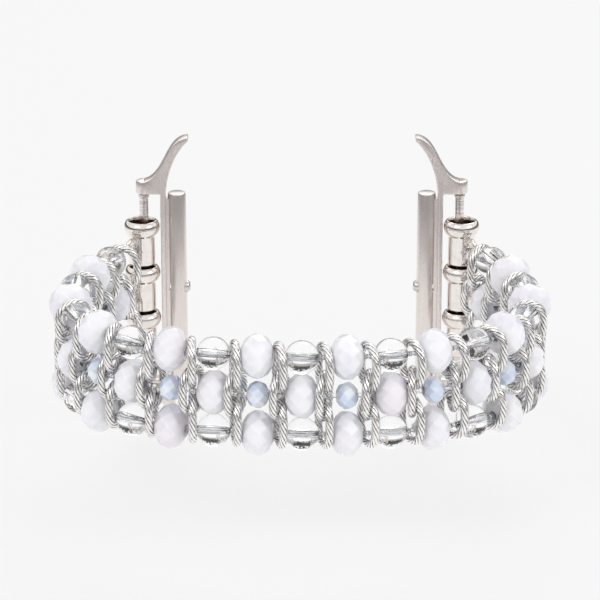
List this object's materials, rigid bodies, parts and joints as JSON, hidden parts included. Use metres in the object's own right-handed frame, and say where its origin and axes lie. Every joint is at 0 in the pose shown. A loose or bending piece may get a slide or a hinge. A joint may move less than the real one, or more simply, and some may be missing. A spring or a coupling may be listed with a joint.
{
  "type": "beaded elastic watch strap",
  "caption": "Elastic watch strap of white, blue and clear glass beads in rows, with twisted wire link chains between the beads, tube bails and sprung slide-in case adapters.",
  "frame": {"origin": "centre of the bounding box in X and Y, at its lowest plane, with the strap standing on edge", "axes": "+Z across the strap, along the spring bars; +Y towards the watch; +X to the right as the strap is seen from its closed front"},
  "size_m": [0.0794, 0.0558, 0.0524],
  "materials": {
    "white_bead": "milky, polished facets",
    "clear_bead": "clear, crackled inside",
    "blue_bead": "opal light blue, polished facets",
    "cord": "clear elastic",
    "link_wire": "bright twisted wire",
    "bail_chrome": "high gloss",
    "satin_steel": "satin"
  },
  "bodies": {
    "middle": {"bead_column_middle": "clear_bead", "cord_upper": "cord", "cord_middle": "cord", "cord_lower": "cord"},
    "links_left_1": {"link_chain_left_1": "link_wire"},
    "column_left_1": {"bead_column_left_1": "white_bead"},
    "links_left_2": {"link_chain_left_2": "link_wire"},
    "column_left_2": {"bead_column_left_2": "clear_bead"},
    "links_left_3": {"link_chain_left_3": "link_wire"},
    "column_left_3": {"bead_column_left_3": "white_bead"},
    "links_left_4": {"link_chain_left_4": "link_wire"},
    "column_left_4": {"bead_column_left_4": "clear_bead"},
    "links_left_5": {"link_chain_left_5": "link_wire"},
    "column_left_5": {"bead_column_left_5": "white_bead"},
    "links_left_6": {"link_chain_left_6": "link_wire"},
    "column_left_6": {"bead_column_left_6": "clear_bead"},
    "links_left_7": {"link_chain_left_7": "link_wire"},
    "column_left_7": {"bead_column_left_7": "white_bead"},
    "links_left_8": {"link_chain_left_8": "link_wire"},
    "column_left_8": {"bead_column_left_8": "clear_bead"},
    "links_left_9": {"link_chain_left_9": "link_wire"},
    "column_left_9": {"bead_column_left_9": "white_bead"},
    "links_left_10": {"link_chain_left_10": "link_wire"},
    "column_left_10": {"bead_column_left_10": "clear_bead"},
    "links_left_11": {"link_chain_left_11": "link_wire"},
    "bails_left": {"bails_left": "bail_chrome"},
    "adapter_left": {"adapter_left": "satin_steel", "bar_tube_left": "satin_steel"},
    "bar_tip_left_upper": {"bar_tip_left_upper": "satin_steel"},
    "bar_tip_left_lower": {"bar_tip_left_lower": "satin_steel"},
    "lock_plunger_left": {"lock_plunger_left": "satin_steel"},
    "links_right_1": {"link_chain_right_1": "link_wire"},
    "column_right_1": {"bead_column_right_1": "white_bead"},
    "links_right_2": {"link_chain_right_2": "link_wire"},
    "column_right_2": {"bead_column_right_2": "clear_bead"},
    "links_right_3": {"link_chain_right_3": "link_wire"},
    "column_right_3": {"bead_column_right_3": "white_bead"},
    "links_right_4": {"link_chain_right_4": "link_wire"},
    "column_right_4": {"bead_column_right_4": "clear_bead"},
    "links_right_5": {"link_chain_right_5": "link_wire"},
    "column_right_5": {"bead_column_right_5": "white_bead"},
    "links_right_6": {"link_chain_right_6": "link_wire"},
    "column_right_6": {"bead_column_right_6": "clear_bead"},
    "links_right_7": {"link_chain_right_7": "link_wire"},
    "column_right_7": {"bead_column_right_7": "white_bead"},
    "links_right_8": {"link_chain_right_8": "link_wire"},
    "column_right_8": {"bead_column_right_8": "clear_bead"},
    "links_right_9": {"link_chain_right_9": "link_wire"},
    "column_right_9": {"bead_column_right_9": "white_bead"},
    "links_right_10": {"link_chain_right_10": "link_wire"},
    "column_right_10": {"bead_column_right_10": "clear_bead"},
    "links_right_11": {"link_chain_right_11": "link_wire"},
    "bails_right": {"bails_right": "bail_chrome"},
    "adapter_right": {"adapter_right": "satin_steel", "bar_tube_right": "satin_steel"},
    "bar_tip_right_upper": {"bar_tip_right_upper": "satin_steel"},
    "bar_tip_right_lower": {"bar_tip_right_lower": "satin_steel"},
    "lock_plunger_right": {"lock_plunger_right": "satin_steel"}
  },
  "joints": [
    {"name": "gap_left_1_in", "type": "hinge", "parent": "middle", "child": "links_left_1", "pos_m": [-0.00307, -0.02429, 0.0262], "axis": [0, 0, 1], "range_deg": [-0.08, 2.33]},
    {"name": "gap_left_1_out", "type": "hinge", "parent": "links_left_1", "child": "column_left_1", "pos_m": [-0.00307, -0.02429, 0.0262], "axis": [0, 0, 1], "range_deg": [-0.08, 2.33]},
    {"name": "gap_left_2_in", "type": "hinge", "parent": "column_left_1", "child": "links_left_2", "pos_m": [-0.00978, -0.02351, 0.0262], "axis": [0, 0, 1], "range_deg": [-0.09, 2.65]},
    {"name": "gap_left_2_out", "type": "hinge", "parent": "links_left_2", "child": "column_left_2", "pos_m": [-0.00978, -0.02351, 0.0262], "axis": [0, 0, 1], "range_deg": [-0.09, 2.65]},
    {"name": "gap_left_3_in", "type": "hinge", "parent": "column_left_2", "child": "links_left_3", "pos_m": [-0.01638, -0.02211, 0.0262], "axis": [0, 0, 1], "range_deg": [-0.13, 3.61]},
    {"name": "gap_left_3_out", "type": "hinge", "parent": "links_left_3", "child": "column_left_3", "pos_m": [-0.01638, -0.02211, 0.0262], "axis": [0, 0, 1], "range_deg": [-0.13, 3.61]},
    {"name": "gap_left_4_in", "type": "hinge", "parent": "column_left_3", "child": "links_left_4", "pos_m": [-0.02276, -0.01989, 0.0262], "axis": [0, 0, 1], "range_deg": [-0.2, 5.59]},
    {"name": "gap_left_4_out", "type": "hinge", "parent": "links_left_4", "child": "column_left_4", "pos_m": [-0.02276, -0.01989, 0.0262], "axis": [0, 0, 1], "range_deg": [-0.2, 5.59]},
    {"name": "gap_left_5_in", "type": "hinge", "parent": "column_left_4", "child": "links_left_5", "pos_m": [-0.02858, -0.01647, 0.0262], "axis": [0, 0, 1], "range_deg": [-0.29, 8.2]},
    {"name": "gap_left_5_out", "type": "hinge", "parent": "links_left_5", "child": "column_left_5", "pos_m": [-0.02858, -0.01647, 0.0262], "axis": [0, 0, 1], "range_deg": [-0.29, 8.2]},
    {"name": "flex_left", "type": "hinge", "parent": "column_left_5", "child": "links_left_6", "pos_m": [-0.0332, -0.01156, 0.0262], "axis": [0, 0, 1], "range_deg": [-0.35, 9.93], "deforming": ["cord_upper", "cord_middle", "cord_lower"]},
    {"name": "gap_left_6_out", "type": "hinge", "parent": "links_left_6", "child": "column_left_6", "pos_m": [-0.0332, -0.01156, 0.0262], "axis": [0, 0, 1], "range_deg": [-0.35, 9.93]},
    {"name": "gap_left_7_in", "type": "hinge", "parent": "column_left_6", "child": "links_left_7", "pos_m": [-0.03588, -0.00536, 0.0262], "axis": [0, 0, 1], "range_deg": [-0.34, 9.52]},
    {"name": "gap_left_7_out", "type": "hinge", "parent": "links_left_7", "child": "column_left_7", "pos_m": [-0.03588, -0.00536, 0.0262], "axis": [0, 0, 1], "range_deg": [-0.34, 9.52]},
    {"name": "gap_left_8_in", "type": "hinge", "parent": "column_left_7", "child": "links_left_8", "pos_m": [-0.03639, 0.00137, 0.0262], "axis": [0, 0, 1], "range_deg": [-0.26, 7.44]},
    {"name": "gap_left_8_out", "type": "hinge", "parent": "links_left_8", "child": "column_left_8", "pos_m": [-0.03639, 0.00137, 0.0262], "axis": [0, 0, 1], "range_deg": [-0.26, 7.44]},
    {"name": "gap_left_9_in", "type": "hinge", "parent": "column_left_8", "child": "links_left_9", "pos_m": [-0.03515, 0.00801, 0.0262], "axis": [0, 0, 1], "range_deg": [-0.18, 5.2]},
    {"name": "gap_left_9_out", "type": "hinge", "parent": "links_left_9", "child": "column_left_9", "pos_m": [-0.03515, 0.00801, 0.0262], "axis": [0, 0, 1], "range_deg": [-0.18, 5.2]},
    {"name": "gap_left_10_in", "type": "hinge", "parent": "column_left_9", "child": "links_left_10", "pos_m": [-0.03274, 0.01431, 0.0262], "axis": [0, 0, 1], "range_deg": [-0.13, 3.79]},
    {"name": "gap_left_10_out", "type": "hinge", "parent": "links_left_10", "child": "column_left_10", "pos_m": [-0.03274, 0.01431, 0.0262], "axis": [0, 0, 1], "range_deg": [-0.13, 3.79]},
    {"name": "gap_left_11_in", "type": "hinge", "parent": "column_left_10", "child": "links_left_11", "pos_m": [-0.02951, 0.02024, 0.0262], "axis": [0, 0, 1], "range_deg": [-0.11, 3.21]},
    {"name": "gap_left_11_out", "type": "hinge", "parent": "links_left_11", "child": "bails_left", "pos_m": [-0.02951, 0.02024, 0.0262], "axis": [0, 0, 1], "range_deg": [-0.11, 3.21]},
    {"name": "adapter_pivot_left", "type": "hinge", "parent": "bails_left", "child": "adapter_left", "pos_m": [-0.02585, 0.02549, 0.0262], "axis": [0, 0, -1], "range_deg": [-50, 7]},
    {"name": "bar_tip_left_upper_slide", "type": "slide", "parent": "adapter_left", "child": "bar_tip_left_upper", "axis": [0, 0, -1], "range_m": [0, 0.0011], "stiffness_N_per_m": 800, "springref_m": -0.001},
    {"name": "bar_tip_left_lower_slide", "type": "slide", "parent": "adapter_left", "child": "bar_tip_left_lower", "axis": [0, 0, 1], "range_m": [0, 0.0011], "stiffness_N_per_m": 800, "springref_m": -0.001},
    {"name": "lock_plunger_left_slide", "type": "slide", "parent": "adapter_left", "child": "lock_plunger_left", "axis": [-1, 0, 0], "range_m": [0, 0.0005], "stiffness_N_per_m": 600, "springref_m": -0.0005},
    {"name": "gap_right_1_in", "type": "hinge", "parent": "middle", "child": "links_right_1", "pos_m": [0.00367, -0.02453, 0.0262], "axis": [0, 0, -1], "range_deg": [-0.1, 2.83]},
    {"name": "gap_right_1_out", "type": "hinge", "parent": "links_right_1", "child": "column_right_1", "pos_m": [0.00367, -0.02453, 0.0262], "axis": [0, 0, -1], "range_deg": [-0.1, 2.83]},
    {"name": "gap_right_2_in", "type": "hinge", "parent": "column_right_1", "child": "links_right_2", "pos_m": [0.01041, -0.0241, 0.0262], "axis": [0, 0, -1], "range_deg": [-0.12, 3.25]},
    {"name": "gap_right_2_out", "type": "hinge", "parent": "links_right_2", "child": "column_right_2", "pos_m": [0.01041, -0.0241, 0.0262], "axis": [0, 0, -1], "range_deg": [-0.12, 3.25]},
    {"name": "gap_right_3_in", "type": "hinge", "parent": "column_right_2", "child": "links_right_3", "pos_m": [0.01705, -0.0229, 0.0262], "axis": [0, 0, -1], "range_deg": [-0.16, 4.4]},
    {"name": "gap_right_3_out", "type": "hinge", "parent": "links_right_3", "child": "column_right_3", "pos_m": [0.01705, -0.0229, 0.0262], "axis": [0, 0, -1], "range_deg": [-0.16, 4.4]},
    {"name": "gap_right_4_in", "type": "hinge", "parent": "column_right_3", "child": "links_right_4", "pos_m": [0.02344, -0.02071, 0.0262], "axis": [0, 0, -1], "range_deg": [-0.23, 6.47]},
    {"name": "gap_right_4_out", "type": "hinge", "parent": "links_right_4", "child": "column_right_4", "pos_m": [0.02344, -0.02071, 0.0262], "axis": [0, 0, -1], "range_deg": [-0.23, 6.47]},
    {"name": "gap_right_5_in", "type": "hinge", "parent": "column_right_4", "child": "links_right_5", "pos_m": [0.02917, -0.01714, 0.0262], "axis": [0, 0, -1], "range_deg": [-0.31, 8.79]},
    {"name": "gap_right_5_out", "type": "hinge", "parent": "links_right_5", "child": "column_right_5", "pos_m": [0.02917, -0.01714, 0.0262], "axis": [0, 0, -1], "range_deg": [-0.31, 8.79]},
    {"name": "flex_right", "type": "hinge", "parent": "column_right_5", "child": "links_right_6", "pos_m": [0.03355, -0.01201, 0.0262], "axis": [0, 0, -1], "range_deg": [-0.35, 9.85]},
    {"name": "gap_right_6_out", "type": "hinge", "parent": "links_right_6", "child": "column_right_6", "pos_m": [0.03355, -0.01201, 0.0262], "axis": [0, 0, -1], "range_deg": [-0.35, 9.85]},
    {"name": "gap_right_7_in", "type": "hinge", "parent": "column_right_6", "child": "links_right_7", "pos_m": [0.03595, -0.0057, 0.0262], "axis": [0, 0, -1], "range_deg": [-0.31, 8.84]},
    {"name": "gap_right_7_out", "type": "hinge", "parent": "links_right_7", "child": "column_right_7", "pos_m": [0.03595, -0.0057, 0.0262], "axis": [0, 0, -1], "range_deg": [-0.31, 8.84]},
    {"name": "gap_right_8_in", "type": "hinge", "parent": "column_right_7", "child": "links_right_8", "pos_m": [0.03632, 0.00104, 0.0262], "axis": [0, 0, -1], "range_deg": [-0.24, 6.61]},
    {"name": "gap_right_8_out", "type": "hinge", "parent": "links_right_8", "child": "column_right_8", "pos_m": [0.03632, 0.00104, 0.0262], "axis": [0, 0, -1], "range_deg": [-0.24, 6.61]},
    {"name": "gap_right_9_in", "type": "hinge", "parent": "column_right_8", "child": "links_right_9", "pos_m": [0.03514, 0.00768, 0.0262], "axis": [0, 0, -1], "range_deg": [-0.16, 4.62]},
    {"name": "gap_right_9_out", "type": "hinge", "parent": "links_right_9", "child": "column_right_9", "pos_m": [0.03514, 0.00768, 0.0262], "axis": [0, 0, -1], "range_deg": [-0.16, 4.62]},
    {"name": "gap_right_10_in", "type": "hinge", "parent": "column_right_9", "child": "links_right_10", "pos_m": [0.0329, 0.01405, 0.0262], "axis": [0, 0, -1], "range_deg": [-0.13, 3.53]},
    {"name": "gap_right_10_out", "type": "hinge", "parent": "links_right_10", "child": "column_right_10", "pos_m": [0.0329, 0.01405, 0.0262], "axis": [0, 0, -1], "range_deg": [-0.13, 3.53]},
    {"name": "gap_right_11_in", "type": "hinge", "parent": "column_right_10", "child": "links_right_11", "pos_m": [0.0299, 0.0201, 0.0262], "axis": [0, 0, -1], "range_deg": [-0.11, 3.13]},
    {"name": "gap_right_11_out", "type": "hinge", "parent": "links_right_11", "child": "bails_right", "pos_m": [0.0299, 0.0201, 0.0262], "axis": [0, 0, -1], "range_deg": [-0.11, 3.13]},
    {"name": "adapter_pivot_right", "type": "hinge", "parent": "bails_right", "child": "adapter_right", "pos_m": [0.02645, 0.02549, 0.0262], "axis": [0, 0, 1], "range_deg": [-50, 7]},
    {"name": "bar_tip_right_upper_slide", "type": "slide", "parent": "adapter_right", "child": "bar_tip_right_upper", "axis": [0, 0, -1], "range_m": [0, 0.0011], "stiffness_N_per_m": 800, "springref_m": -0.001},
    {"name": "bar_tip_right_lower_slide", "type": "slide", "parent": "adapter_right", "child": "bar_tip_right_lower", "axis": [0, 0, 1], "range_m": [0, 0.0011], "stiffness_N_per_m": 800, "springref_m": -0.001},
    {"name": "lock_plunger_right_slide", "type": "slide", "parent": "adapter_right", "child": "lock_plunger_right", "axis": [1, 0, 0], "range_m": [0, 0.0005], "stiffness_N_per_m": 600, "springref_m": -0.0005}
  ],
  "couplings": [
    {"joint": "gap_left_1_in", "follows": "flex_left", "ratio": 0.23495},
    {"joint": "gap_left_1_out", "follows": "flex_left", "ratio": 0.23495},
    {"joint": "gap_left_2_in", "follows": "flex_left", "ratio": 0.26693},
    {"joint": "gap_left_2_out", "follows": "flex_left", "ratio": 0.26693},
    {"joint": "gap_left_3_in", "follows": "flex_left", "ratio": 0.36364},
    {"joint": "gap_left_3_out", "follows": "flex_left", "ratio": 0.36364},
    {"joint": "gap_left_4_in", "follows": "flex_left", "ratio": 0.56293},
    {"joint": "gap_left_4_out", "follows": "flex_left", "ratio": 0.56293},
    {"joint": "gap_left_5_in", "follows": "flex_left", "ratio": 0.82523},
    {"joint": "gap_left_5_out", "follows": "flex_left", "ratio": 0.82523},
    {"joint": "gap_left_6_out", "follows": "flex_left", "ratio": 1},
    {"joint": "gap_left_7_in", "follows": "flex_left", "ratio": 0.95774},
    {"joint": "gap_left_7_out", "follows": "flex_left", "ratio": 0.95774},
    {"joint": "gap_left_8_in", "follows": "flex_left", "ratio": 0.74864},
    {"joint": "gap_left_8_out", "follows": "flex_left", "ratio": 0.74864},
    {"joint": "gap_left_9_in", "follows": "flex_left", "ratio": 0.5229},
    {"joint": "gap_left_9_out", "follows": "flex_left", "ratio": 0.5229},
    {"joint": "gap_left_10_in", "follows": "flex_left", "ratio": 0.38132},
    {"joint": "gap_left_10_out", "follows": "flex_left", "ratio": 0.38132},
    {"joint": "gap_left_11_in", "follows": "flex_left", "ratio": 0.32267},
    {"joint": "gap_left_11_out", "follows": "flex_left", "ratio": 0.32267},
    {"joint": "gap_right_1_in", "follows": "flex_right", "ratio": 0.28762},
    {"joint": "gap_right_1_out", "follows": "flex_right", "ratio": 0.28762},
    {"joint": "gap_right_2_in", "follows": "flex_right", "ratio": 0.33043},
    {"joint": "gap_right_2_out", "follows": "flex_right", "ratio": 0.33043},
    {"joint": "gap_right_3_in", "follows": "flex_right", "ratio": 0.44626},
    {"joint": "gap_right_3_out", "follows": "flex_right", "ratio": 0.44626},
    {"joint": "gap_right_4_in", "follows": "flex_right", "ratio": 0.65697},
    {"joint": "gap_right_4_out", "follows": "flex_right", "ratio": 0.65697},
    {"joint": "gap_right_5_in", "follows": "flex_right", "ratio": 0.8927},
    {"joint": "gap_right_5_out", "follows": "flex_right", "ratio": 0.8927},
    {"joint": "gap_right_6_out", "follows": "flex_right", "ratio": 1},
    {"joint": "gap_right_7_in", "follows": "flex_right", "ratio": 0.89718},
    {"joint": "gap_right_7_out", "follows": "flex_right", "ratio": 0.89718},
    {"joint": "gap_right_8_in", "follows": "flex_right", "ratio": 0.67128},
    {"joint": "gap_right_8_out", "follows": "flex_right", "ratio": 0.67128},
    {"joint": "gap_right_9_in", "follows": "flex_right", "ratio": 0.46935},
    {"joint": "gap_right_9_out", "follows": "flex_right", "ratio": 0.46935},
    {"joint": "gap_right_10_in", "follows": "flex_right", "ratio": 0.35835},
    {"joint": "gap_right_10_out", "follows": "flex_right", "ratio": 0.35835},
    {"joint": "gap_right_11_in", "follows": "flex_right", "ratio": 0.31733},
    {"joint": "gap_right_11_out", "follows": "flex_right", "ratio": 0.31733}
  ]
}
